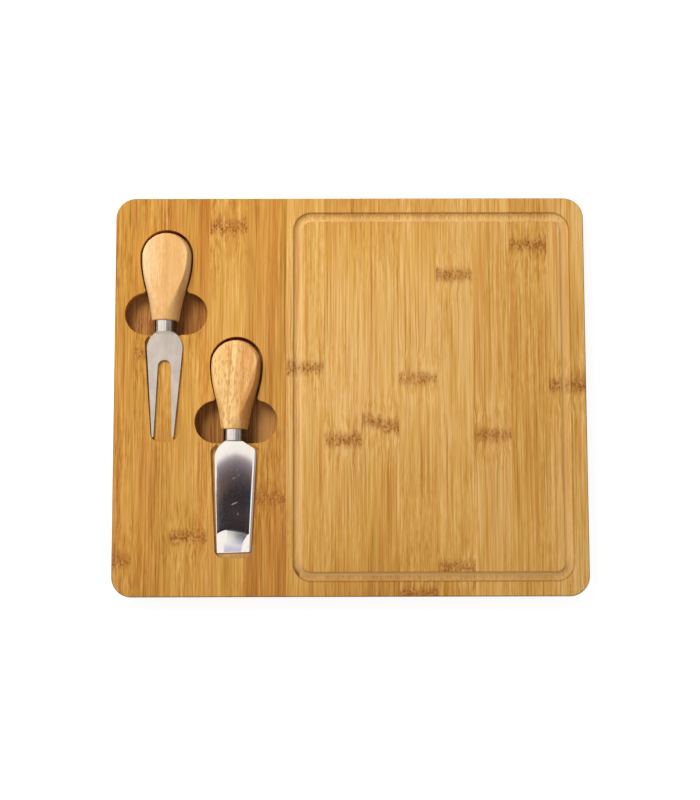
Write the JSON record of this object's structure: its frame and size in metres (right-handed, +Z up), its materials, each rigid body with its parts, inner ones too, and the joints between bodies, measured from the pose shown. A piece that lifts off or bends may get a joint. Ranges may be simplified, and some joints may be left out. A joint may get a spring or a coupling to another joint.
{
  "type": "cheese board",
  "caption": "Flat bamboo cheese board with a juice groove, and a two-tined fork and a broad knife laid in routed pockets with finger notches.",
  "frame": {"origin": "middle of the underside of the board", "axes": "+X to the right along the long side, away from the tools; +Y to the back, where the handles point; +Z up"},
  "size_m": [0.28, 0.237, 0.022],
  "materials": {
    "bamboo_golden": "sanded carbonised bamboo, lightly oiled",
    "bamboo_dark": "sanded carbonised bamboo, a darker strip",
    "bamboo_pale": "sanded carbonised bamboo, a paler strip",
    "pale_handle_wood": "turned pale rubberwood, clear satin lacquer",
    "warm_handle_wood": "turned warm rubberwood, clear satin lacquer",
    "ferrule_steel": "bright drawn stainless steel",
    "satin_steel": "tumbled satin stainless steel",
    "polished_steel": "mirror-polished stainless steel"
  },
  "bodies": {
    "board": {"base_strip_01": "bamboo_golden", "base_strip_02": "bamboo_golden", "base_strip_03": "bamboo_dark", "base_strip_04": "bamboo_golden", "base_strip_05": "bamboo_golden", "base_strip_06": "bamboo_pale", "base_strip_07": "bamboo_golden", "base_strip_08": "bamboo_golden", "base_strip_09": "bamboo_dark", "base_strip_10": "bamboo_golden", "base_strip_11": "bamboo_pale", "base_strip_12": "bamboo_golden", "base_strip_13": "bamboo_golden", "core_strip_01": "bamboo_golden", "core_strip_02": "bamboo_pale", "core_strip_03": "bamboo_golden", "core_strip_04": "bamboo_dark", "core_strip_05": "bamboo_golden", "core_strip_06": "bamboo_golden", "core_strip_07": "bamboo_pale", "core_strip_08": "bamboo_golden", "core_strip_09": "bamboo_golden", "core_strip_10": "bamboo_dark", "core_strip_11": "bamboo_golden", "core_strip_12": "bamboo_golden", "core_strip_13": "bamboo_golden", "top_strip_01": "bamboo_golden", "top_strip_02": "bamboo_golden", "top_strip_03": "bamboo_golden", "top_strip_04": "bamboo_golden", "top_strip_05": "bamboo_dark", "top_strip_06": "bamboo_golden", "top_strip_07": "bamboo_golden", "top_strip_08": "bamboo_pale", "top_strip_09": "bamboo_golden", "top_strip_10": "bamboo_golden", "top_strip_11": "bamboo_golden", "top_strip_12": "bamboo_pale", "top_strip_13": "bamboo_golden"},
    "fork": {"fork_handle": "pale_handle_wood", "fork_ferrule": "ferrule_steel", "fork_blade": "satin_steel"},
    "knife": {"knife_handle": "warm_handle_wood", "knife_ferrule": "ferrule_steel", "knife_blade": "polished_steel"}
  },
  "joints": [
    {"name": "fork_lift", "type": "slide", "parent": "board", "child": "fork", "axis": [0, 0, 1], "range_m": [0, 0.06]},
    {"name": "knife_lift", "type": "slide", "parent": "board", "child": "knife", "axis": [0, 0, 1], "range_m": [0, 0.06]}
  ]
}
